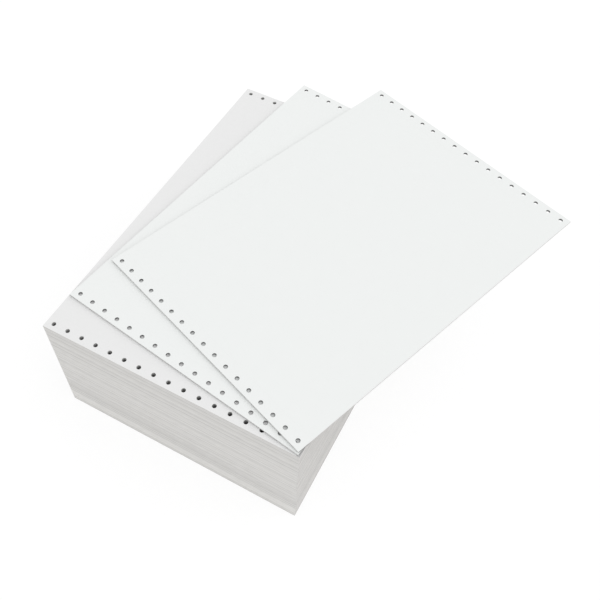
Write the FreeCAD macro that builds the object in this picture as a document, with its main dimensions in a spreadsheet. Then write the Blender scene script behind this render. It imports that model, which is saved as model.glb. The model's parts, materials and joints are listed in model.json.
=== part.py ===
import FreeCAD, Part
import Sketcher
import os

# A stack of fan-folded continuous form paper with two loose sections of the same paper lying on
# it, fanned out round one corner. Millimetres, +Z up, origin at the centre of the stack's base.
# +X runs along the row of sprocket holes, from fold to fold, and +Y runs across the form, from
# one cut edge to the other.
#
# Each bundle of paper is one folded web. On the right side two panels are joined by a fold, on
# the left side the folds lie half a step higher, and the first and last panels end there in a
# free edge. In the stack a drawn fold stands for a bundle of real ones. In the loose sections
# every fold is drawn.

SIZES = {
    "fold_length": 215.9,  # from fold to fold: 17 hole pitches
    "form_width": 304.8,  # from cut edge to cut edge
    "stack_height": 115.0,
    "hole_pitch": 12.7,  # along each row of sprocket holes
    "hole_diameter": 3.5,
    "hole_margin": 5.25,  # from the cut edge to the hole centres
    "panel_thickness": 0.1,
    "section_pairs": 9,  # pairs of panels in a loose section
    "section_nose": 0.08,  # how far a section's folds stand out from the creases between them
    "section_crease": 0.02,  # gap between two folds of a section, measured up the side
    "bundle_height": 4.6,  # of the folds that one drawn fold of the stack stands for
    "stack_nose": 0.4,
    "stack_crease": 0.3,
    "groove_width": 0.2,  # of the lines between bundles on the stack's cut sides
    "groove_depth": 0.25,
    "lower_turn_deg": 8.3,  # degrees clockwise, seen from above
    "lower_inset_x": 1.3,  # from the stack's front right corner to the section's
    "lower_inset_y": 0.7,
    "upper_turn_deg": 19.4,
    "upper_inset_x": 1.8,
    "upper_inset_y": 1.9,
}


def make_sheet(doc):
    """The driving dimensions, one row each: the name, and the value with the name as its alias."""
    sheet = doc.addObject("Spreadsheet::Sheet", "sizes")
    for row, (name, value) in enumerate(SIZES.items(), start=1):
        sheet.set(f"A{row}", name)
        sheet.set(f"B{row}", str(value))
        sheet.setAlias(f"B{row}", name)
    doc.recompute()
    return sheet


def origin_feature(body, role):
    return next(f for f in body.Origin.OriginFeatures if f.Role == role)


def new_sketch(body, name, plane_role):
    sketch = body.newObject("Sketcher::SketchObject", name)
    sketch.AttachmentSupport = (origin_feature(body, plane_role), [""])
    sketch.MapMode = "FlatFace"
    return sketch


def bind(sketch, kind, refs, expression):
    """Adds a dimension whose value follows an expression."""
    value = float(sketch.evalExpression(expression))
    index = sketch.addConstraint(Sketcher.Constraint(kind, *refs, value))
    sketch.setExpression(f"Constraints[{index}]", expression)


def bind_point(sketch, geometry, position, x, y):
    bind(sketch, "DistanceX", (-1, 1, geometry, position), x)
    bind(sketch, "DistanceY", (-1, 1, geometry, position), y)


def point(sketch, x, y):
    return FreeCAD.Vector(float(sketch.evalExpression(x)), float(sketch.evalExpression(y)), 0)


def add_polygon(sketch, corners):
    """A closed outline of straight lines. Each corner is a pair of expressions."""
    spots = [point(sketch, x, y) for x, y in corners]
    count = len(spots)
    lines = [
        sketch.addGeometry(Part.LineSegment(spots[i], spots[(i + 1) % count]))
        for i in range(count)
    ]
    for i, line in enumerate(lines):
        sketch.addConstraint(Sketcher.Constraint("Coincident", line, 2, lines[(i + 1) % count], 1))
        bind_point(sketch, line, 1, *corners[i])


def add_circle(sketch, x, y, diameter):
    radius = float(sketch.evalExpression(diameter)) / 2
    circle = Part.Circle(point(sketch, x, y), FreeCAD.Vector(0, 0, 1), radius)
    index = sketch.addGeometry(circle)
    bind_point(sketch, index, 3, x, y)
    bind(sketch, "Diameter", (index,), diameter)


def add_nose(sketch, side, face, mid, chord, nose):
    """The round outline of one fold: an arc that stands out by nose from a chord on the side face.

    side is 1 for the right and -1 for the left, and face is the distance of the side face from
    the middle of the sheet.
    """
    x = f"{side} * ({face})"
    radius = f"(({chord}) ^ 2 / 4 + ({nose}) ^ 2) / (2 * ({nose}))"
    low = point(sketch, x, f"{mid} - ({chord}) / 2")
    high = point(sketch, x, f"{mid} + ({chord}) / 2")
    tip = point(sketch, f"{side} * ({face} + {nose})", mid)
    start, end = (low, high) if side > 0 else (high, low)
    arc = sketch.addGeometry(Part.Arc(start, tip, end))
    line = sketch.addGeometry(Part.LineSegment(end, start))
    sketch.addConstraint(Sketcher.Constraint("Coincident", arc, 2, line, 1))
    sketch.addConstraint(Sketcher.Constraint("Coincident", line, 2, arc, 1))
    bind_point(sketch, arc, 3, f"{side} * ({face} + {nose} - {radius})", mid)
    bind(sketch, "Radius", (arc,), radius)
    sketch.addConstraint(Sketcher.Constraint("Vertical", line))
    bind(sketch, "DistanceX", (-1, 1, line, 1), x)


def pad(body, sketch, length):
    feature = body.newObject("PartDesign::Pad", f"{sketch.Name}_pad")
    feature.Profile = sketch
    feature.SideType = "Symmetric"
    feature.setExpression("Length", length)
    return feature


def pocket(body, sketch, length):
    feature = body.newObject("PartDesign::Pocket", f"{sketch.Name}_pocket")
    feature.Profile = sketch
    feature.SideType = "Symmetric"
    feature.setExpression("Length", length)
    return feature


def repeat(body, feature, axis_role, extent, occurrences):
    pattern = body.newObject("PartDesign::LinearPattern", f"{feature.Name}_row")
    pattern.Originals = [feature]
    pattern.Direction = (origin_feature(body, axis_role), [""])
    pattern.setExpression("Length", extent)
    pattern.setExpression("Occurrences", occurrences)
    body.Tip = pattern
    return pattern


class Web:
    """The expressions that one folded web of paper is drawn from."""

    def __init__(self, label, height, pairs, nose, crease):
        self.label = label
        self.height = height
        self.pairs = pairs
        self.nose = nose
        self.crease = crease
        self.step = f"({height}) / ({pairs})"  # from one fold to the next above it
        self.face = f"sizes.fold_length / 2 - {nose}"  # the side face between the folds


def add_panels(body, web):
    """The block of panels between the folds."""
    sketch = new_sketch(body, f"{web.label}_panels", "XZ_Plane")
    left, right = f"-({web.face})", web.face
    add_polygon(sketch, [(left, "0"), (right, "0"), (right, web.height), (left, web.height)])
    pad(body, sketch, "sizes.form_width")


def add_folds(body, web):
    """The folds of both sides. Those of the left side lie half a step above those of the right."""
    chord = f"({web.step}) - {web.crease}"
    right = new_sketch(body, f"{web.label}_right_fold", "XZ_Plane")
    add_nose(right, 1, web.face, f"({web.step}) / 2", chord, web.nose)
    right_pad = pad(body, right, "sizes.form_width")
    repeat(body, right_pad, "Z_Axis", f"({web.step}) * ({web.pairs} - 1)", web.pairs)
    left = new_sketch(body, f"{web.label}_left_fold", "XZ_Plane")
    add_nose(left, -1, web.face, web.step, chord, web.nose)
    left_pad = pad(body, left, "sizes.form_width")
    repeat(body, left_pad, "Z_Axis", f"({web.step}) * ({web.pairs} - 2)", f"{web.pairs} - 1")


def add_free_edges(body, web):
    """The free edges of the lowest and the highest panels, on the left side."""
    sketch = new_sketch(body, f"{web.label}_free_edge", "XZ_Plane")
    inner, outer = f"-({web.face})", "-sizes.fold_length / 2"
    band = f"({web.step} - {web.crease}) / 2"
    for low, high in (("0", band), (f"{web.height} - {band}", web.height)):
        add_polygon(sketch, [(outer, low), (inner, low), (inner, high), (outer, high)])
    pad(body, sketch, "sizes.form_width")


def add_cut_edge_lines(body, web):
    """The fine grooves between bundles of panels on the two cut sides."""
    sketch = new_sketch(body, f"{web.label}_groove", "YZ_Plane")
    half_step = f"({web.step}) / 2"
    for side in (1, -1):
        outer = f"{side} * sizes.form_width / 2"
        inner = f"{side} * (sizes.form_width / 2 - sizes.groove_depth)"
        low = f"{half_step} - sizes.groove_width / 2"
        high = f"{half_step} + sizes.groove_width / 2"
        add_polygon(sketch, [(outer, low), (outer, high), (inner, half_step)])
    cut = pocket(body, sketch, "sizes.fold_length")
    repeat(body, cut, "Z_Axis", f"({web.step}) * ({web.pairs} - 1)", f"2 * {web.pairs} - 1")


def add_holes(body, web):
    """The two rows of round sprocket holes, right through. The folds lie midway between holes."""
    count = "floor(sizes.fold_length / sizes.hole_pitch + 0.001)"
    span = f"({count} - 1) * sizes.hole_pitch"
    sketch = new_sketch(body, f"{web.label}_hole", "XY_Plane")
    for side in (1, -1):
        row = f"{side} * (sizes.form_width / 2 - sizes.hole_margin)"
        add_circle(sketch, f"-({span}) / 2", row, "sizes.hole_diameter")
    cut = pocket(body, sketch, f"2 * ({web.height})")
    repeat(body, cut, "X_Axis", span, count)


def make_web(doc, web, with_lines):
    body = doc.addObject("PartDesign::Body", web.label)
    body.Label = web.label
    doc.recompute()
    add_panels(body, web)
    add_folds(body, web)
    add_free_edges(body, web)
    if with_lines:
        add_cut_edge_lines(body, web)
    add_holes(body, web)
    return body


def make_stack(doc):
    pairs = "round(sizes.stack_height / sizes.bundle_height)"
    web = Web("folded_stack", "sizes.stack_height", pairs, "sizes.stack_nose", "sizes.stack_crease")
    return make_web(doc, web, with_lines=True)


def make_section(doc, label, fan, sections_below):
    """A loose section, turned clockwise about its front right corner and lying on what is below."""
    height = "(2 * sizes.section_pairs * sizes.panel_thickness)"
    web = Web(label, height, "sizes.section_pairs", "sizes.section_nose", "sizes.section_crease")
    body = make_web(doc, web, with_lines=False)
    half_length, half_width = "sizes.fold_length / 2", "sizes.form_width / 2"
    turn = f"sizes.{fan}_turn_deg"
    body.Placement = FreeCAD.Placement(
        FreeCAD.Vector(0, 0, 0), FreeCAD.Rotation(FreeCAD.Vector(0, 0, -1), SIZES[f"{fan}_turn_deg"])
    )
    body.setExpression("Placement.Rotation.Angle", turn)
    body.setExpression(
        "Placement.Base.x",
        f"{half_length} * (1 - cos({turn})) + {half_width} * sin({turn}) - sizes.{fan}_inset_x",
    )
    body.setExpression(
        "Placement.Base.y",
        f"{half_width} * (cos({turn}) - 1) + {half_length} * sin({turn}) + sizes.{fan}_inset_y",
    )
    body.setExpression("Placement.Base.z", f"sizes.stack_height + {sections_below} * {height}")
    return body


def check(doc, parts):
    """Stops before anything is written if a feature failed or a shape isn't sound."""
    bad = [o.Name for o in doc.Objects if {"Invalid", "Error"} & set(o.State)]
    bad += [p.Label for p in parts if p.Shape.isNull() or not p.Shape.isValid()]
    bad += [p.Label for p in parts if len(p.Shape.Solids) != 1]
    if bad:
        raise RuntimeError(f"not sound: {bad}")


def main():
    os.makedirs("parts", exist_ok=True)
    doc = FreeCAD.newDocument("continuous_form_stack")
    make_sheet(doc)
    parts = [
        make_stack(doc),
        make_section(doc, "loose_section_lower", "lower", 0),
        make_section(doc, "loose_section_upper", "upper", 1),
    ]
    doc.recompute()
    check(doc, parts)
    for part in parts:
        part.Shape.exportStep(f"parts/{part.Label}.step")
        box = part.Shape.BoundBox
        print(
            f"{part.Label}: volume {part.Shape.Volume:.0f}, faces {len(part.Shape.Faces)}, "
            f"x {box.XMin:.2f} to {box.XMax:.2f}, y {box.YMin:.2f} to {box.YMax:.2f}, "
            f"z {box.ZMin:.2f} to {box.ZMax:.2f}"
        )


main()
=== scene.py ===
# %% [markdown]
# # A stack of continuous form paper
#
# Continuous form paper is one long web of paper. It is folded back and forth at lines of
# perforation, and a row of round sprocket holes runs down each cut edge so that a printer's
# tractor can pull it. Here a thick block of it carries two thin folded sections of the same
# paper, fanned out round one corner.
#
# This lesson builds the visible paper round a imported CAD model. The CAD model gives every size
# and place, and Blender adds what the CAD leaves out: the edges of more than a thousand sheets,
# their folds, the walls of the holes, and the finish of the paper.

# %% Load the frame
import json
import math

import bpy
import numpy as np
from mathutils import Matrix, Quaternion, Vector, geometry


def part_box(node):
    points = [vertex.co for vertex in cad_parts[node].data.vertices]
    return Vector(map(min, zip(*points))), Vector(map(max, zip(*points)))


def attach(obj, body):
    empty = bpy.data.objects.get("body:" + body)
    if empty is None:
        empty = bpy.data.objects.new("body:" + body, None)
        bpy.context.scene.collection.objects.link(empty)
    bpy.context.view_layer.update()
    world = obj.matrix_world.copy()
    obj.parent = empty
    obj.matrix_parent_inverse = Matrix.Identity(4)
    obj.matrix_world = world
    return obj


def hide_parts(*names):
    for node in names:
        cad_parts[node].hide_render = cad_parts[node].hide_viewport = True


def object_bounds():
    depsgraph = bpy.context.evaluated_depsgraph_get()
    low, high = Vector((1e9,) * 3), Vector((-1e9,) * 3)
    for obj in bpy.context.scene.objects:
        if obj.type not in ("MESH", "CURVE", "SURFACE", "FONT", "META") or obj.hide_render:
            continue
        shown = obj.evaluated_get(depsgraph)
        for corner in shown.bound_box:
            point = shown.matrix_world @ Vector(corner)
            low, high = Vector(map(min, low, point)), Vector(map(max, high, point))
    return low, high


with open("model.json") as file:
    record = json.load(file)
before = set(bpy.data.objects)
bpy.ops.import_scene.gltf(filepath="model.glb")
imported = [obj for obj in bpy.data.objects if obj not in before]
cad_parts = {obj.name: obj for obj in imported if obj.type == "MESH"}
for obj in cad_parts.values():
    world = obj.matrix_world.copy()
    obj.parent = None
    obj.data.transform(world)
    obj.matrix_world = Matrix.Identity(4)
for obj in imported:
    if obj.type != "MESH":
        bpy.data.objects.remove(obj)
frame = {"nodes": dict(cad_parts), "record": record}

MM = 0.001  # one millimetre in Blender's metres
cad_low, cad_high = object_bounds()
print("CAD nodes:", sorted(frame["nodes"]))
print("CAD box in mm:", [round(v / MM, 2) for v in (*cad_low, *cad_high)])

# %% [markdown]
# ## Measure the paper
#
# Sizes could be typed in again from the CAD source, but two copies of a number soon differ. So
# they are read from the frame. The block isn't turned, so its box is the size of one panel:
# its length from fold to fold along X, and its width from cut edge to cut edge along Y. The
# record's mount gives the size of a sprocket hole and how far apart the rows and their ends are.
# Two numbers aren't in the frame and are typed here: how many holes a row has, and how thick one
# panel is.

# %% Panel size and sprocket holes
block_low, block_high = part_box("folded_stack")
LENGTH = block_high.x - block_low.x
WIDTH = block_high.y - block_low.y
BLOCK_HEIGHT = block_high.z - block_low.z
print(f"panel {LENGTH / MM:.1f} x {WIDTH / MM:.1f} mm, block {BLOCK_HEIGHT / MM:.1f} mm high")

holes_mount = next(m for m in frame["record"]["mounts"] if m["name"] == "sprocket_holes")
HOLE_RADIUS = holes_mount["dims"]["hole_r_mm"] * MM
HOLE_ROW = holes_mount["dims"]["spacing_y_mm"] * MM / 2  # from the middle of the form to a row
ROW_LENGTH = holes_mount["dims"]["spacing_x_mm"] * MM  # from the first hole of a row to the last
HOLES_IN_ROW = 17
HOLE_PITCH = ROW_LENGTH / (HOLES_IN_ROW - 1)
SHEET = 0.1 * MM  # the thickness of one panel
hole_size = 2 * HOLE_RADIUS / MM
print(f"{HOLES_IN_ROW} holes a row, {HOLE_PITCH / MM:.2f} mm apart, {hole_size:.1f} mm across")

# %% [markdown]
# A loose section lies turned on the block. Its box shows by how much: a rectangle of length L
# and width W that is turned by t fills L cos t + W sin t along X, which is R cos(t - p) with
# R the diagonal and p the diagonal's own angle. Solved for t, that gives the turn, and the
# middle of the box is the middle of the sheet.


# %% Where each piece lies
def resting_place(node):
    """(height, matrix) of a folded web: its thickness, and the place of its underside's middle."""
    low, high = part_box(node)
    diagonal = math.hypot(LENGTH, WIDTH)
    reach = min(1.0, (high.x - low.x) / diagonal)
    turn = max(0.0, math.atan2(WIDTH, LENGTH) - math.acos(reach))
    thickness = high.z - low.z
    middle = (low + high) / 2
    underside = Matrix.Translation((middle.x, middle.y, low.z))
    print(f"{node}: turned {math.degrees(turn):.2f} degrees, {thickness / MM:.2f} mm thick")
    return thickness, underside @ Matrix.Rotation(-turn, 4, "Z")


places = {node: resting_place(node) for node in sorted(frame["nodes"])}

# %% [markdown]
# ## Camera
#
# The camera looks down on the near corner of the block from the right of its front, as a
# product picture does. Its place is worked out from the angles it looks along and from the
# point it aims at on top of the block. It is rolled by about a degree, as a camera held by
# hand is, and a small sideways shift frames the paper as a cropped picture would.

# %% Camera
CAMERA_AZIMUTH = math.radians(27.551)
CAMERA_ELEVATION = math.radians(55.265)
CAMERA_ROLL = math.radians(1.313)
CAMERA_DISTANCE = 0.58377
CAMERA_LENS = 45.84
CAMERA_SHIFT = 0.0333
AIM = Vector((35.04 * MM, -46.09 * MM, block_high.z))

look = Vector((
    -math.sin(CAMERA_AZIMUTH) * math.cos(CAMERA_ELEVATION),
    math.cos(CAMERA_AZIMUTH) * math.cos(CAMERA_ELEVATION),
    -math.sin(CAMERA_ELEVATION),
))
camera_data = bpy.data.cameras.new("studio_camera")
camera_data.lens = CAMERA_LENS
camera_data.shift_x = CAMERA_SHIFT
camera_data.clip_start, camera_data.clip_end = 0.01, 100.0
camera = bpy.data.objects.new("studio_camera", camera_data)
camera.location = AIM - look * CAMERA_DISTANCE
unrolled = look.to_track_quat("-Z", "Y")
camera.rotation_euler = (unrolled @ Quaternion((0, 0, 1), CAMERA_ROLL)).to_euler()
bpy.context.scene.collection.objects.link(camera)
bpy.context.scene.camera = camera
print("camera at", [round(v, 3) for v in camera.location])

# %% [markdown]
# ## Small helpers for node trees
#
# Shaders are graphs of nodes. Two helpers keep the cells that build them short: `plug` gives a
# socket a link or a plain value, and `calc` adds one Math node.


# %% Node helpers
def plug(tree, socket, value):
    """Links value into the socket if it is a socket itself, and otherwise sets it."""
    if isinstance(value, bpy.types.NodeSocket):
        tree.links.new(value, socket)
    else:
        socket.default_value = value


def calc(tree, operation, *values, clamp=False):
    """One Math node. Each value is a socket or a number."""
    node = tree.nodes.new("ShaderNodeMath")
    node.operation, node.use_clamp = operation, clamp
    for socket, value in zip(node.inputs, values):
        plug(tree, socket, value)
    return node.outputs[0]


def new_group(name, inputs, outputs):
    """An empty node group. inputs is {name: (kind, value)} and outputs {name: kind}."""
    tree = bpy.data.node_groups.new(name, "ShaderNodeTree")
    for label, (kind, value) in inputs.items():
        made = tree.interface.new_socket(name=label, in_out="INPUT", socket_type=f"NodeSocket{kind}")
        if value is not None:
            made.default_value = value
    for label, kind in outputs.items():
        tree.interface.new_socket(name=label, in_out="OUTPUT", socket_type=f"NodeSocket{kind}")
    return tree, tree.nodes.new("NodeGroupInput").outputs, tree.nodes.new("NodeGroupOutput").inputs


def place_group(tree, group, **values):
    """The group as a node in a tree. Its inputs are set by name, with _ for a space."""
    node = tree.nodes.new("ShaderNodeGroup")
    node.node_tree = group
    for label, value in values.items():
        plug(tree, node.inputs[label.replace("_", " ")], value)
    return node.outputs


# %% [markdown]
# ## Floor, world and light
#
# The paper stands on a plain pale floor under soft studio light. Two things are wanted at once:
# a white background, and paper that isn't overexposed. More light would spoil the second, so
# the floor and the world only look white to the camera, by the Light Path node, and light the
# paper at a plain level. The floor seen by the camera still carries a little diffuse shading,
# which is what keeps the soft shadow at the foot of the block.
#
# Most of the light comes from the sky, evenly from all round, and that is what darkens the
# corners where sheets meet. A wide lamp from behind the right shoulder of the stack adds the
# rest, so that its two visible sides aren't quite alike. Together they give a face that looks
# straight up almost exactly its own colour.

# %% Floor
FLOOR_TONE = 0.75  # of the floor that throws light back at the paper
FLOOR_SHADE = 0.20  # how much of what the camera sees of the floor is shaded
FLOOR_GLOW = 0.83  # and how much of it is the same everywhere
FLOOR_DROP = 0.05 * MM  # below the block, so that the two faces don't share a plane
HALF_FLOOR = 6.0

floor_mesh = bpy.data.meshes.new("studio_floor")
corners = [(-1, -1), (1, -1), (1, 1), (-1, 1)]
floor_mesh.from_pydata(
    [(x * HALF_FLOOR, y * HALF_FLOOR, cad_low.z - FLOOR_DROP) for x, y in corners], [], [(0, 1, 2, 3)]
)
floor = bpy.data.objects.new("studio_floor", floor_mesh)
bpy.context.scene.collection.objects.link(floor)


def seen_directly(tree):
    """1 where a camera, glossy or transmission ray arrives, and 0 for the rays that light things."""
    path = tree.nodes.new("ShaderNodeLightPath").outputs
    shiny = calc(tree, "MAXIMUM", path["Is Glossy Ray"], path["Is Transmission Ray"])
    return calc(tree, "MAXIMUM", path["Is Camera Ray"], shiny)


floor_finish = bpy.data.materials.new("pale_floor")
floor_finish.use_nodes = True
tree = floor_finish.node_tree
tree.nodes.clear()
real = tree.nodes.new("ShaderNodeBsdfDiffuse")
real.inputs["Color"].default_value = (FLOOR_TONE, FLOOR_TONE, FLOOR_TONE, 1)
shaded = tree.nodes.new("ShaderNodeBsdfDiffuse")
shaded.inputs["Color"].default_value = (FLOOR_SHADE, FLOOR_SHADE, FLOOR_SHADE, 1)
glow = tree.nodes.new("ShaderNodeEmission")
glow.inputs["Strength"].default_value = FLOOR_GLOW
both = tree.nodes.new("ShaderNodeAddShader")
choice = tree.nodes.new("ShaderNodeMixShader")
out = tree.nodes.new("ShaderNodeOutputMaterial")
plug(tree, both.inputs[0], shaded.outputs[0])
plug(tree, both.inputs[1], glow.outputs[0])
plug(tree, choice.inputs[0], seen_directly(tree))
plug(tree, choice.inputs[1], real.outputs[0])
plug(tree, choice.inputs[2], both.outputs[0])
plug(tree, out.inputs["Surface"], choice.outputs[0])
floor_mesh.materials.append(floor_finish)

# %% World and lamp
SKY_LEVEL = 0.816
LAMP_LEVEL = 0.18  # what the lamp adds to the brightness of a face that looks straight up
LAMP_SPREAD = math.radians(80)
LAMP_TILT = math.radians(50)  # from straight down
LAMP_SIDE = math.radians(60)  # from the back towards the right

world = bpy.data.worlds.new("studio_world")
world.use_nodes = True
bpy.context.scene.world = world
tree = world.node_tree
sky = next(n for n in tree.nodes if n.type == "BACKGROUND")
sky.inputs["Color"].default_value = (1, 1, 1, 1)
seen = seen_directly(tree)
plug(tree, sky.inputs["Strength"], calc(tree, "MULTIPLY_ADD", seen, 1.0 - SKY_LEVEL, SKY_LEVEL))

lamp_data = bpy.data.lights.new("soft_lamp", "SUN")
lamp_data.energy = LAMP_LEVEL * math.pi / math.cos(LAMP_TILT)
lamp_data.angle = LAMP_SPREAD
lamp = bpy.data.objects.new("soft_lamp", lamp_data)
lamp.rotation_euler = (-LAMP_TILT, 0, -LAMP_SIDE)
bpy.context.scene.collection.objects.link(lamp)
bpy.context.scene.view_settings.view_transform = "Standard"
print(f"a face that looks up gets {SKY_LEVEL + LAMP_LEVEL:.2f} of its own colour")

# %% [markdown]
# ## The grain of paper
#
# Uncoated paper looks plain white, but it isn't one colour. Its fibres clump as the sheet is
# formed, which leaves faint clouds a centimetre wide, and the fibres themselves lie mostly
# along the web as a fine tooth. An image of scanned paper would show this, but a pattern made
# of noise is sharp at any distance, so this is a node group with the size of the clouds and
# of the fibres as inputs. It puts out a shade to multiply the colour by, and a height for bump.

# %% Group: paper grain
FIBRE_SQUEEZE = (0.3, 1.0, 1.0)  # fibres are about three times as long along the web as across

grain, given, made = new_group(
    "Paper grain",
    {"Vector": ("Vector", None), "Cloud Size": ("Float", 12 * MM), "Fibre Size": ("Float", 0.5 * MM),
     "Strength": ("Float", 0.01)},
    {"Shade": "Float", "Height": "Float"},
)
clouds = grain.nodes.new("ShaderNodeTexNoise")
clouds.inputs["Detail"].default_value = 2.0
plug(grain, clouds.inputs["Vector"], given["Vector"])
plug(grain, clouds.inputs["Scale"], calc(grain, "DIVIDE", 1.0, given["Cloud Size"]))
along_web = grain.nodes.new("ShaderNodeVectorMath")
along_web.operation = "MULTIPLY"
along_web.inputs[1].default_value = FIBRE_SQUEEZE
plug(grain, along_web.inputs[0], given["Vector"])
fibres = grain.nodes.new("ShaderNodeTexNoise")
fibres.inputs["Detail"].default_value = 3.0
fibres.inputs["Distortion"].default_value = 0.8
plug(grain, fibres.inputs["Vector"], along_web.outputs[0])
plug(grain, fibres.inputs["Scale"], calc(grain, "DIVIDE", 1.0, given["Fibre Size"]))
mottle = calc(grain, "ADD", clouds.outputs[0], fibres.outputs[0])  # about 1 on average
swing = calc(grain, "MULTIPLY", calc(grain, "SUBTRACT", mottle, 1.0), given["Strength"])
plug(grain, made["Shade"], calc(grain, "ADD", swing, 1.0))
plug(grain, made["Height"], fibres.outputs[0])
print("group:", grain.name, [s.name for s in grain.interface.items_tree])

# %% [markdown]
# ## The lines of a stack's sides
#
# Seen from the side, a stack of paper is a pile of lines. No two sheets reflect quite alike,
# and neither do two bundles, so fine lines lie inside stronger ones as thick as a bundle, and
# those inside faint bands. All of them run level round the block. The group looks the height
# of a point up in three noises: one as fine as a pair of sheets, one as thick as a bundle, and
# one of several bundles. A small wander keeps the lines from being ruled, and a fourth noise,
# stretched along the sheets, breaks them into long dashes.

# %% Group: sheet lines
DRIFT_SCALE = 14.0  # lines wander over a length of about 1/14 of a metre
SHEETS_IN_LINE = 2.0
BUNDLES_IN_BAND = 6.0

lines, given, made = new_group(
    "Sheet lines",
    {"Vector": ("Vector", None), "Sheet": ("Float", SHEET), "Bundle": ("Float", 1.8 * MM),
     "Dash": ("Float", 9 * MM), "Wander": ("Float", 0.12 * MM), "Strength": ("Float", 0.05),
     "Seed": ("Float", 0.0)},
    {"Shade": "Float", "Height": "Float"},
)
drift = lines.nodes.new("ShaderNodeTexNoise")
drift.inputs["Scale"].default_value = DRIFT_SCALE
plug(lines, drift.inputs["Vector"], given["Vector"])
split = lines.nodes.new("ShaderNodeSeparateXYZ")
plug(lines, split.inputs[0], given["Vector"])
level = calc(lines, "MULTIPLY_ADD", drift.outputs[0], given["Wander"], split.outputs["Z"])


def line_noise(thickness, detail):
    """A noise that changes with height alone, in lines about as thick as the socket says."""
    noise = lines.nodes.new("ShaderNodeTexNoise")
    noise.noise_dimensions = "1D"
    noise.inputs["Scale"].default_value = 1.0
    noise.inputs["Detail"].default_value = detail
    spot = calc(lines, "DIVIDE", level, thickness)
    plug(lines, noise.inputs["W"], calc(lines, "ADD", spot, given["Seed"]))
    return calc(lines, "SUBTRACT", noise.outputs[0], 0.5)


fine = line_noise(calc(lines, "MULTIPLY", given["Sheet"], SHEETS_IN_LINE), detail=1.0)
bundle = line_noise(given["Bundle"], detail=4.0)
band = line_noise(calc(lines, "MULTIPLY", given["Bundle"], BUNDLES_IN_BAND), detail=1.0)

# %% Dashes along the lines
DASH_HEIGHT = 0.5  # of a dash, in bundles
FINE_WEIGHT = 0.7  # how much each of the four noises counts in the shade
BUNDLE_WEIGHT = 2.8
BAND_WEIGHT = 0.6
DASH_WEIGHT = 1.3

stretch = lines.nodes.new("ShaderNodeCombineXYZ")
plug(lines, stretch.inputs["X"], given["Dash"])
plug(lines, stretch.inputs["Y"], given["Dash"])
plug(lines, stretch.inputs["Z"], calc(lines, "MULTIPLY", given["Bundle"], DASH_HEIGHT))
stretched = lines.nodes.new("ShaderNodeVectorMath")
stretched.operation = "DIVIDE"
plug(lines, stretched.inputs[0], given["Vector"])
plug(lines, stretched.inputs[1], stretch.outputs[0])
dashes = lines.nodes.new("ShaderNodeTexNoise")
dashes.inputs["Scale"].default_value = 1.0
dashes.inputs["Detail"].default_value = 3.0
plug(lines, dashes.inputs["Vector"], stretched.outputs[0])
broken = calc(lines, "SUBTRACT", dashes.outputs[0], 0.5)
weighted = (
    (fine, FINE_WEIGHT), (bundle, BUNDLE_WEIGHT), (band, BAND_WEIGHT), (broken, DASH_WEIGHT),
)
total = 0.0
for part, weight in weighted:
    total = calc(lines, "MULTIPLY_ADD", part, weight, total)
plug(lines, made["Shade"], calc(lines, "MULTIPLY_ADD", total, given["Strength"], 1.0))
plug(lines, made["Height"], calc(lines, "ADD", fine, broken))
print("group:", lines.name, [s.name for s in lines.interface.items_tree])

# %% [markdown]
# ## Bands of another shade
#
# The sides of a block this thick aren't of one shade all the way up. It may hold bundles that
# came off different rolls, some a little whiter than others, and the bands in the middle of the
# height stand for those. The lowest band is partly painted light and partly a whiter bundle: it
# makes the foot of the sides paler, as light thrown up by the floor does. The band just under
# the top makes the sides darker there. The bands could be painted with a picture of the side,
# but a few smooth steps in height say the same: each has its middle above the floor, how far it
# reaches up and down, and how much paler it is. A minus sign makes it darker.

# %% Group: shade bands
# the first band, at the foot, is partly painted light from the floor
SHADE_BANDS = (  # middle and reach in mm, and lift
    (9, 6.5, 0.115), (26, 8, -0.02), (58, 5, 0.04), (80, 6, 0.028), (91, 5, -0.025), (112, 5, -0.05),
)
BAND_START = 1.2  # where a band begins to show, in shares of its reach
BAND_FULL = 0.7  # and where it has its full lift

bands, given, made = new_group(
    "Shade bands", {"Height": ("Float", 0.0), "Strength": ("Float", 1.0)}, {"Shade": "Float"}
)
total = 0.0
for middle, reach, lift in SHADE_BANDS:
    away = calc(bands, "ABSOLUTE", calc(bands, "SUBTRACT", given["Height"], middle * MM))
    step = bands.nodes.new("ShaderNodeMapRange")
    step.interpolation_type = "SMOOTHSTEP"
    plug(bands, step.inputs["Value"], away)
    step.inputs["From Min"].default_value = BAND_START * reach * MM
    step.inputs["From Max"].default_value = BAND_FULL * reach * MM
    step.inputs["To Max"].default_value = lift
    total = calc(bands, "ADD", step.outputs[0], total)
plug(bands, made["Shade"], calc(bands, "MULTIPLY_ADD", total, given["Strength"], 1.0))
print("group:", bands.name, "with", len(SHADE_BANDS), "bands")

# %% [markdown]
# ## Perforation
#
# A perforation is a row of short cuts with ties between them. Cutting slots a tenth of a
# millimetre wide into the mesh would cost far more faces than they are worth, so this group
# draws them: from the distance to the line, and the place along it, it puts out 1 in a cut
# and 0 elsewhere.

# %% Group: perforation
perforation, given, made = new_group(
    "Perforation",
    {"Across": ("Float", 0.0), "Along": ("Float", 0.0), "Pitch": ("Float", 1.6 * MM),
     "Cut Share": ("Float", 0.7), "Cut Width": ("Float", 0.12 * MM)},
    {"Mask": "Float"},
)
spot = calc(perforation, "FRACT", calc(perforation, "DIVIDE", given["Along"], given["Pitch"]))
in_cut = calc(perforation, "LESS_THAN", spot, given["Cut Share"])
near = calc(perforation, "DIVIDE", calc(perforation, "ABSOLUTE", given["Across"]), given["Cut Width"])
on_line = calc(perforation, "LESS_THAN", near, 0.5)
plug(perforation, made["Mask"], calc(perforation, "MULTIPLY", in_cut, on_line))
print("group:", perforation.name)
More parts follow.
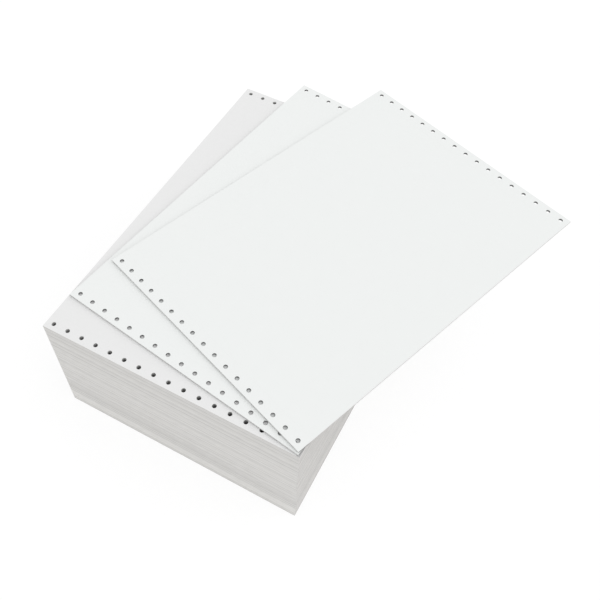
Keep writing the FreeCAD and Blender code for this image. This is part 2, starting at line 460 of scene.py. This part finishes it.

# %% [markdown]
# ## Shade painted down a hole
#
# Down a sprocket hole it soon gets dark: the wall is made of sheet edges with shadow between
# them, and little light reaches past the first few millimetres. A render with a few bounces
# shows some of that, and the rest is painted shade: the walls' colour is darkened with depth.
# This group puts out 1 at either mouth of a hole and falls off with depth.

# %% Group: painted hole shade
painted_hole_shade, given, made = new_group(
    "Painted hole shade",
    {"Height": ("Float", 0.0), "Thickness": ("Float", 1 * MM), "Reach": ("Float", 1 * MM)},
    {"Light": "Float"},
)
from_top = calc(painted_hole_shade, "SUBTRACT", given["Thickness"], given["Height"])
depth = calc(painted_hole_shade, "MINIMUM", given["Height"], from_top)
fade = calc(painted_hole_shade, "DIVIDE", calc(painted_hole_shade, "MULTIPLY", depth, -1.0), given["Reach"])
plug(painted_hole_shade, made["Light"], calc(painted_hole_shade, "EXPONENT", fade, clamp=True))
print("group:", painted_hole_shade.name)

# %% [markdown]
# ## Painted shade at the fanned corner
#
# The sections are fanned out round the front right corner, and under the overhang of their
# edges the shade is deep. That shade is painted into the colour: the sections' folds are made
# greyer there than elsewhere, and so is the block's face. The painted shade is placed by distance
# alone: this group puts out 1 at the corner of a sheet and fades to 0 round the reach. It is
# longer along the folds than along the cut edge, so the distance is measured with X stretched.
# Each finish takes as much of the mask as it needs.

# %% Group: painted corner shade
# the painted shade at the fanned corner: its shape, and where it fades
ACROSS = 4.0  # how much sooner the mark ends along the cut edge
CORNER_SHADE_START = 1.25  # where the mark begins to show, in shares of its reach
CORNER_SHADE_FULL = 0.75  # and where it has its full strength

painted_corner_shade, given, made = new_group(
    "Painted corner shade", {"Vector": ("Vector", None), "Reach": ("Float", 10 * MM)}, {"Mask": "Float"}
)
flat = painted_corner_shade.nodes.new("ShaderNodeVectorMath")
flat.operation = "MULTIPLY"
flat.inputs[1].default_value = (ACROSS, 1, 0)
plug(painted_corner_shade, flat.inputs[0], given["Vector"])
away = painted_corner_shade.nodes.new("ShaderNodeVectorMath")
away.operation = "DISTANCE"
away.inputs[1].default_value = (ACROSS * LENGTH / 2, -WIDTH / 2, 0)
plug(painted_corner_shade, away.inputs[0], flat.outputs[0])
fade = painted_corner_shade.nodes.new("ShaderNodeMapRange")
fade.interpolation_type = "SMOOTHSTEP"
plug(painted_corner_shade, fade.inputs["Value"], away.outputs["Value"])
plug(painted_corner_shade, fade.inputs["From Min"], calc(painted_corner_shade, "MULTIPLY", given["Reach"], CORNER_SHADE_START))
plug(painted_corner_shade, fade.inputs["From Max"], calc(painted_corner_shade, "MULTIPLY", given["Reach"], CORNER_SHADE_FULL))
plug(painted_corner_shade, made["Mask"], fade.outputs[0])
print("group:", painted_corner_shade.name)

# %% [markdown]
# ## The finishes
#
# The paper needs four finishes: the flat face of a sheet, the cut edges of a pile of sheets,
# the folds, and the walls of the holes. Each is a Principled BSDF, rough and hardly shiny,
# with its colour driven by the groups above. The coordinates are the piece's own, so that a
# sheet keeps its grain and its perforations when it is turned on the stack.


# %% Parts of a finish
def paper_material(name, specular=0.25):
    """A new material with a Principled BSDF, and the piece's own coordinates."""
    material = bpy.data.materials.new(name)
    material.use_nodes = True
    nodes = material.node_tree.nodes
    shader = next(n for n in nodes if n.type == "BSDF_PRINCIPLED")
    shader.inputs["Specular IOR Level"].default_value = specular
    own = nodes.new("ShaderNodeTexCoord").outputs["Object"]
    apart = nodes.new("ShaderNodeSeparateXYZ")
    plug(material.node_tree, apart.inputs[0], own)
    return material, material.node_tree, shader, own, apart.outputs


def tinted(tree, shader, tone, *shades):
    """Sets the base colour: a tone multiplied by shades that change over the surface."""
    shade = shades[0]
    for more in shades[1:]:
        shade = calc(tree, "MULTIPLY", shade, more)
    scale = tree.nodes.new("ShaderNodeVectorMath")
    scale.operation = "SCALE"
    scale.inputs[0].default_value = tone
    plug(tree, scale.inputs["Scale"], shade)
    plug(tree, shader.inputs["Base Color"], scale.outputs[0])


def darker(tree, mask, share):
    """A shade of 1 where the mask is 0, and less by the share where it is 1."""
    return calc(tree, "MULTIPLY_ADD", mask, -share, 1.0)


ROUGHNESS_SWING = 0.12  # between a height of 0 and one of 1


def textured(tree, shader, height, depth, roughness):
    """Feeds a height of about 0.5 on average to the normal, by a Bump node, and to the roughness."""
    bump = tree.nodes.new("ShaderNodeBump")
    bump.inputs["Distance"].default_value = depth
    plug(tree, bump.inputs["Height"], height)
    plug(tree, shader.inputs["Normal"], bump.outputs[0])
    smoothest = roughness - ROUGHNESS_SWING / 2
    rough = calc(tree, "MULTIPLY_ADD", height, ROUGHNESS_SWING, smoothest, clamp=True)
    plug(tree, shader.inputs["Roughness"], rough)


# %% Face of a sheet
STRIP = 12.7 * MM  # from the cut edge to the perforation that frees the strip with the holes
STRIP_CUT_SHADE = 0.05  # how much darker a cut of that perforation is than the sheet


def face_finish(name, tone, corner_shade=0.0):
    """The flat face of a sheet: grain, the perforations along its strips of holes, and painted shade at
    the fanned corner.
    """
    material, tree, shader, own, xyz = paper_material(name)
    fibre = place_group(tree, grain, Vector=own, Strength=0.012)
    from_cut = calc(tree, "SUBTRACT", WIDTH / 2 - STRIP, calc(tree, "ABSOLUTE", xyz["Y"]))
    cuts = place_group(tree, perforation, Across=from_cut, Along=xyz["X"])["Mask"]
    # painted shade under the overhang at the fanned corner
    corner_shade_mask = place_group(tree, painted_corner_shade, Vector=own)["Mask"]
    shades = [fibre["Shade"], darker(tree, cuts, STRIP_CUT_SHADE), darker(tree, corner_shade_mask, corner_shade)]
    tinted(tree, shader, tone, *shades)
    textured(tree, shader, fibre["Height"], depth=0.012 * MM, roughness=0.86)
    return material


# %% Sides of a pile of sheets
SIDE_CLOUD = 8 * MM
SIDE_FIBRE = 0.3 * MM
CROSS_PITCH = 2.5 * MM  # of the perforation that the folds follow
FOLD_CUT_SHADE = 0.02  # how much darker a cut of it is than the fold


def side_finish(name, strength, seed, band_strength):
    """The edges of a pile of sheets: level lines, and bands of another shade, one of them partly
    painted light.
    """
    material, tree, shader, own, xyz = paper_material(name)
    fibre = place_group(
        tree, grain, Vector=own, Cloud_Size=SIDE_CLOUD, Fibre_Size=SIDE_FIBRE, Strength=0.03
    )
    level_lines = place_group(tree, lines, Vector=own, Strength=strength, Seed=seed)
    shades = [level_lines["Shade"], fibre["Shade"]]
    if band_strength:
        shades.append(place_group(tree, bands, Height=xyz["Z"], Strength=band_strength)["Shade"])
    height = calc(tree, "ADD", fibre["Height"], level_lines["Height"])
    return material, tree, shader, own, xyz, shades, height


def edge_finish(name, tone, strength, seed, band_strength=0.0):
    """Edges that a knife has cut, rougher than a face."""
    made_side = side_finish(name, strength, seed, band_strength)
    material, tree, shader, _, _, shades, height = made_side
    tinted(tree, shader, tone, *shades)
    textured(tree, shader, height, depth=0.02 * MM, roughness=0.92)
    return material


def fold_finish(name, tone, strength, seed, band_strength=0.0, corner_shade=0.0):
    """Folds, which the cuts of the cross perforation break into short lengths, with painted shade at
    the fanned corner.
    """
    made_side = side_finish(name, strength, seed, band_strength)
    material, tree, shader, own, xyz, shades, height = made_side
    cuts = place_group(tree, perforation, Along=xyz["Y"], Pitch=CROSS_PITCH, Cut_Share=0.8)["Mask"]
    # painted shade under the overhang at the fanned corner
    corner_shade_mask = place_group(tree, painted_corner_shade, Vector=own)["Mask"]
    shades += [darker(tree, cuts, FOLD_CUT_SHADE), darker(tree, corner_shade_mask, corner_shade)]
    tinted(tree, shader, tone, *shades)
    textured(tree, shader, height, depth=0.015 * MM, roughness=0.88)
    return material


# %% Walls of the holes
def hole_finish(name, tone, thickness, reach, deepest):
    """The walls of the sprocket holes, darkened with depth by painted shade. Far from both mouths,
    deepest is what is left of the tone.
    """
    material, tree, shader, own, xyz = paper_material(name, specular=0.1)
    # painted shade that deepens down the hole
    light = place_group(tree, painted_hole_shade, Height=xyz["Z"], Thickness=thickness, Reach=reach)["Light"]
    level_lines = place_group(tree, lines, Vector=own, Bundle=0.6 * MM, Strength=0.3)
    dim = calc(tree, "MULTIPLY_ADD", light, 1.0 - deepest, deepest)
    tinted(tree, shader, tone, dim, level_lines["Shade"])
    height = calc(tree, "ADD", level_lines["Height"], 0.5)
    textured(tree, shader, height, depth=0.03 * MM, roughness=0.94)
    return material


# %% [markdown]
# ## Build one folded web
#
# The block could be a box with a bump map, but then its outline would be ruled straight and
# the exported mesh would be a box. Real panels are modelled instead: one ring of points for
# every boundary between two panels, more than a thousand rings for the block. On the right
# side the odd rings stand out as the tips of folds and the even rings lie back in the creases,
# and on the left it is the other way round, as the web goes back and forth. On the two cut
# sides each panel is shifted by about a hundredth of a millimetre, and each bundle of panels by
# a few hundredths. Each of these helpers gives an inset: how far a ring lies behind the side's
# outermost line, so that no paper ever leaves the CAD model's box.


# %% Fold and edge lines
SLACK = 1e-6  # in panels, for heights that rounding has moved off a boundary


def fold_insets(spots, first_tip, depth, unevenness, rng):
    """How far each ring lies behind the side's outermost line on a side of folds.

    spots are the rings' heights counted in panels. Folds have their tips at first_tip,
    first_tip + 2, and so on, and are round between two creases.
    """
    fold = np.round((spots - first_tip) / 2).astype(int)
    away = np.clip(np.abs(spots - first_tip - 2 * fold), 0, 1)
    tips = np.abs(rng.normal(0, unevenness, fold.max() + 2))
    return tips[fold] + depth * (1 - np.sqrt(1 - away**2))


def bundle_offsets(panels, thinnest, thickest, spread, rng):
    """One offset per panel, the same for all panels of a bundle."""
    offsets = np.zeros(panels)
    start = 0
    while start < panels:
        end = start + int(rng.integers(thinnest, thickest + 1))
        offsets[start:end] = rng.uniform(0, spread)
        start = end
    return offsets


def cut_insets(spots, offsets, jitter, groove, rng):
    """How far each ring lies behind the outermost line on a cut side, with a groove between panels."""
    own = offsets + np.abs(rng.normal(0, jitter, len(offsets)))
    below = np.clip(np.ceil(spots - SLACK).astype(int) - 1, 0, len(own) - 1)
    above = np.clip(np.floor(spots + SLACK).astype(int), 0, len(own) - 1)
    between = below != above
    return np.where(between, np.maximum(own[below], own[above]) + groove, own[above])


# %% [markdown]
# The rings are then joined into walls. A ring starts at the left front corner and runs
# anticlockwise, so the walls face outwards. Between the corners the points sway in by a few
# hundredths of a millimetre, because no pile of paper is quite straight. Two crossing sine
# waves do that: they are smooth, they fade out at the corners, and they cost no more points.

# %% Rings of points
SEGMENTS_ALONG = 8  # pieces that a side of one panel length is divided into
SEGMENTS_ACROSS = 10
LONG_TURN = 9  # radians that the long wave turns through along a side
SHORT_TURN = 21
LONG_RISE = 11 * MM  # the height in which the long wave moves on by a radian
SHORT_RISE = 4.3 * MM
MEAN_DENT = 0.5  # in shares of the sway
WAVE_SHARE = 0.25


def ring_points(heights, left, right, front, back, sway, rng):
    """Points of all rings as an array of rings x points x 3."""
    x0, x1 = -LENGTH / 2 + left, LENGTH / 2 - right
    y0, y1 = -WIDTH / 2 + front, WIDTH / 2 - back
    corners = [(x0, y0), (x1, y0), (x1, y1), (x0, y1)]
    inwards = [(0, 1), (-1, 0), (0, -1), (1, 0)]
    counts = [SEGMENTS_ALONG, SEGMENTS_ACROSS] * 2
    columns = []
    for side in range(4):
        (ax, ay), (bx, by) = corners[side], corners[(side + 1) % 4]
        nx, ny = inwards[side]
        long_start, short_start = rng.uniform(0, 2 * math.pi, 2)
        for step in range(counts[side]):
            t = step / counts[side]
            long_wave = np.sin(LONG_TURN * t + heights / LONG_RISE + long_start)
            short_wave = np.sin(SHORT_TURN * t - heights / SHORT_RISE + short_start)
            share = MEAN_DENT + WAVE_SHARE * long_wave + WAVE_SHARE * short_wave
            dent = sway * math.sin(math.pi * t) * share
            x = ax + (bx - ax) * t + nx * dent
            y = ay + (by - ay) * t + ny * dent
            columns.append(np.stack([x, y, heights], 1))
    return np.stack(columns, 1)


def wall_faces(rings, points, first=0, outwards=True):
    """Quads between neighbouring rings of a closed wall."""
    low = first + np.arange(rings - 1)[:, None] * points + np.arange(points)[None, :]
    turn = first + np.arange(rings - 1)[:, None] * points + (np.arange(points)[None, :] + 1) % points
    quads = np.stack([low, turn, turn + points, low + points], -1).reshape(-1, 4)
    return quads if outwards else quads[:, ::-1]


# %% [markdown]
# The sprocket holes are tubes whose rings lie at several heights. The sheets were punched
# before they were folded, so the rings don't quite line up. The top and the underside are
# filled by a constrained Delaunay triangulation, which joins the outline to the circles
# with well-shaped triangles. It also fills the circles themselves. Those triangles are easy to
# know, since all three of their corners lie on one circle, and they are left out again. That
# closes the mesh: every edge has exactly two faces.

# %% Holes and caps
HOLE_SIDES = 24
MERGE_DISTANCE = 1e-7  # points of a cap that are nearer than this would be joined
hole_middles = [
    (-ROW_LENGTH / 2 + n * HOLE_PITCH, side * HOLE_ROW) for side in (-1, 1) for n in range(HOLES_IN_ROW)
]


def hole_rings(middle, heights, misfit, rng):
    """Points of one hole's rings, from the underside up."""
    angles = np.arange(HOLE_SIDES) / HOLE_SIDES * 2 * math.pi
    shift = rng.normal(0, misfit, (len(heights), 2))
    shift[[0, -1]] = 0
    circle = HOLE_RADIUS * np.stack([np.cos(angles), np.sin(angles)], 1)
    flat = np.array(middle) + circle[None] + shift[:, None]
    return np.concatenate([flat, np.broadcast_to(heights[:, None, None], (*flat.shape[:2], 1))], 2)


def cap_faces(points, loops, upwards):
    """Triangles that fill the first loop and leave the others open. A loop is a range of points."""
    used = [i for loop in loops for i in loop]
    loop_of = [number for number, loop in enumerate(loops) for _ in loop]
    flat = [Vector(points[i][:2]) for i in used]
    edges, start = [], 0
    for loop in loops:
        count = len(loop)
        edges += [(start + i, start + (i + 1) % count) for i in range(count)]
        start += count
    _, _, triangles, origins, _, _ = geometry.delaunay_2d_cdt(flat, edges, [], 1, MERGE_DISTANCE)
    faces = []
    for triangle in triangles:
        spots = [origins[i][0] for i in triangle]
        touched = {loop_of[spot] for spot in spots}
        if len(touched) == 1 and touched != {0}:
            continue
        ids = [used[spot] for spot in spots]
        a, b, c = (points[i][:2] for i in ids)
        turns_left = (b[0] - a[0]) * (c[1] - a[1]) - (b[1] - a[1]) * (c[0] - a[0]) > 0
        faces.append(ids if turns_left == upwards else ids[::-1])
    return faces


# %% Join the parts of a mesh
FACE, CUT, FOLD, HOLE = range(4)  # the order of a piece's materials


def open_edges(mesh):
    """How many edges don't have exactly two faces. A closed mesh has none."""
    keys = np.array([key for polygon in mesh.polygons for key in polygon.edge_keys])
    _, counts = np.unique(keys, axis=0, return_counts=True)
    return int((counts != 2).sum())


def paper_object(name, place, points, faces, slots):
    """An object in its place, from points, faces and the material slot of each face."""
    mesh = bpy.data.meshes.new(name)
    mesh.from_pydata(points.tolist(), [], faces)
    mesh.polygons.foreach_set("material_index", slots.astype(np.int32))
    mesh.update()
    piece = bpy.data.objects.new(name, mesh)
    piece.matrix_world = place
    bpy.context.scene.collection.objects.link(piece)
    triangles = sum(len(polygon.vertices) - 2 for polygon in mesh.polygons)
    print(f"{name}: {triangles} triangles, {open_edges(mesh)} open edges")
    return piece


# %% [markdown]
# One function now makes any folded web, thick or thin, from the helpers above. It also takes
# account of how a thin section lies. A dark line shows under its edges, as it would if the
# outermost panels curled up a little and left a slot of shade open. Curling every panel would be
# a lot of work for one dark line. Setting the lowest rings back on all four sides leaves the
# same slot, and the mesh stays closed.
#
# The helpers take their numbers from a piece's look, a dictionary of lengths:
#
# - nose: how far the tips of folds stand out from the creases between them
# - unevenness: about how far the tips differ from each other
# - jitter: about how far the cut edges of single panels differ from each other
# - groove: how deep the line between two cut edges is
# - sway: how far, at most, the outline dents inwards along a side
# - misfit: about how far the rings of a hole are out of line
# - gap and setback: the height and the depth of the slot of shade
#
# Besides these, `bundles` gives the fewest and the most panels in a bundle, and how far a bundle
# can lie back.

# %% One folded web
def folded_web(name, node, steps, hole_levels, bundles, look_of, seed):
    """A piece of fan-folded paper in the place of a CAD node, with steps rings for a panel."""
    rng = np.random.default_rng(seed)
    height, place = places[node]
    panels = 2 * round(height / SHEET / 2)
    spots = np.arange(panels * steps + 1) / steps
    heights = spots / panels * height
    right = fold_insets(spots, 1, look_of["nose"], look_of["unevenness"], rng)
    left = fold_insets(spots, 0, look_of["nose"], look_of["unevenness"], rng)
    offsets = bundle_offsets(panels, *bundles, rng)
    front, back = (
        cut_insets(spots, offsets, look_of["jitter"], look_of["groove"], rng) for _ in range(2)
    )
    under = np.where(heights < look_of["gap"], look_of["setback"], 0.0)
    insets = (side + under for side in (left, right, front, back))
    wall = ring_points(heights, *insets, look_of["sway"], rng)
    rings, around = wall.shape[:2]
    points = [wall.reshape(-1, 3)]
    faces = [wall_faces(rings, around)]
    slots = [np.tile(([CUT] * SEGMENTS_ALONG + [FOLD] * SEGMENTS_ACROSS) * 2, rings - 1)]
    count = rings * around
    bottoms, tops = [range(around)], [range(count - around, count)]
    for middle in hole_middles:
        tube = hole_rings(middle, hole_levels, look_of["misfit"], rng)
        faces.append(wall_faces(len(hole_levels), HOLE_SIDES, first=count, outwards=False))
        slots.append(np.full(len(faces[-1]), HOLE))
        points.append(tube.reshape(-1, 3))
        bottoms.append(range(count, count + HOLE_SIDES))
        count += len(points[-1])
        tops.append(range(count - HOLE_SIDES, count))
    points = np.concatenate(points)
    caps = cap_faces(points, bottoms, upwards=False) + cap_faces(points, tops, upwards=True)
    slots.append(np.full(len(caps), FACE))
    print(f"{name}: {panels} panels, {rings} rings of {around} points, {len(hole_middles)} holes")
    faces = np.concatenate(faces).tolist() + caps
    return paper_object(name, place, points, faces, np.concatenate(slots))


# %% [markdown]
# ## The block
#
# The block is one piece with over a thousand panels. A single step per panel makes a ring at
# each boundary, so tips and creases alternate. Its folds have the same paper as its cut edges,
# but their tone is darker, as painted shade: for the light lost between two tips, and for the
# lamp, which lights the folds on the right more than the cut edges at the front. In the holes
# rings lie close together near the two mouths, where a hole can be seen, and far apart between
# them.

# %% The block
BLOCK_FACE = (0.834, 0.835, 0.834)
BLOCK_CUT = (0.81, 0.80, 0.78)
# darker than the cut edges: painted shade, to even out the lamp on the right side
BLOCK_FOLD = (0.627, 0.617, 0.603)
# the hole walls are darker than the cut edges: painted shade in the holes
BLOCK_HOLE = (0.7, 0.7, 0.69)
BLOCK_LOOK = {
    "nose": 0.06 * MM, "unevenness": 0.015 * MM, "jitter": 0.008 * MM, "groove": 0.0,
    "sway": 0.05 * MM, "misfit": 0.03 * MM, "gap": 0.0, "setback": 0.0,
}

# how deep a hole's rings lie below its upper mouth, and as high above its lower one
RING_DEPTHS = np.array([0, 0.3, 0.7, 1.2, 1.9, 2.8, 4.0, 6.0, 9.0, 14.0]) * MM

block = folded_web(
    "paper_block", "folded_stack", steps=1, bundles=(8, 46, 0.06 * MM),
    hole_levels=np.concatenate([RING_DEPTHS, BLOCK_HEIGHT - RING_DEPTHS[::-1]]),
    look_of=BLOCK_LOOK,
    seed=11,
)
for finish in (
    # the block's face gets painted shade at the fanned corner
    face_finish("block_face", BLOCK_FACE, corner_shade=0.35),
    edge_finish("block_cut_edges", BLOCK_CUT, strength=0.23, seed=3.0, band_strength=1.0),
    fold_finish("block_folds", BLOCK_FOLD, strength=0.3, seed=3.0, band_strength=0.4),
    hole_finish("block_hole_walls", BLOCK_HOLE, BLOCK_HEIGHT, reach=3.5 * MM, deepest=0.35),
):
    block.data.materials.append(finish)

# %% [markdown]
# ## The loose sections
#
# Each section is the same web in fewer panels. Its few folds and edges stand alone, where a
# block's thousand blur into one even tone. So each fold is rounded, with four rings for a
# panel, and grooves part the panels. Half a millimetre of its height is the slot of shade that
# parts it from the sheet below. Its face is a little paler and cooler than the block's, and its
# folds carry painted shade at the fanned corner.

# %% The loose sections
SECTION_FACE = (0.872, 0.889, 0.881)
# cut edges and folds darker than paper: painted shade for the gaps between loose sheets
SECTION_CUT = (0.77, 0.77, 0.76)
SECTION_FOLD = (0.66, 0.65, 0.64)
# the section's hole walls are far darker than paper: painted shade in the holes
SECTION_HOLE = (0.38, 0.38, 0.38)
SECTION_HOLE_RINGS = 11
SECTION_LOOK = {
    "nose": 0.07 * MM, "unevenness": 0.02 * MM, "jitter": 0.01 * MM, "groove": 0.03 * MM,
    "sway": 0.05 * MM, "misfit": 0.03 * MM, "gap": 0.55 * MM, "setback": 2.4 * MM,
}

section_height = places["loose_section_upper"][0]
section_finishes = (
    face_finish("section_face", SECTION_FACE),
    edge_finish("section_cut_edges", SECTION_CUT, strength=0.2, seed=8.0),
    # the sections' folds get painted shade at the fanned corner
    fold_finish("section_folds", SECTION_FOLD, strength=0.2, seed=8.0, corner_shade=0.45),
    hole_finish("section_hole_walls", SECTION_HOLE, section_height, reach=1 * MM, deepest=0.3),
)
sections = {}
for number, (name, node) in enumerate((
    ("loose_sheets_lower", "loose_section_lower"), ("loose_sheets_upper", "loose_section_upper"),
)):
    piece = folded_web(
        name, node, steps=4, bundles=(1, 4, 0.03 * MM),
        hole_levels=np.linspace(0, section_height, SECTION_HOLE_RINGS),
        look_of=SECTION_LOOK,
        seed=21 + number,
    )
    for finish in section_finishes:
        piece.data.materials.append(finish)
    sections[node] = piece

# %% [markdown]
# ## Hand the pieces to the frame
#
# Each visible piece stands for one CAD node, which is hidden and kept for collision. Nothing
# moves on a stack of paper, so all of them ride on the one body.

# %% Ride on the CAD
pieces = {"folded_stack": block, **sections}
for node, piece in pieces.items():
    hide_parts(node)
    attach(piece, "root")
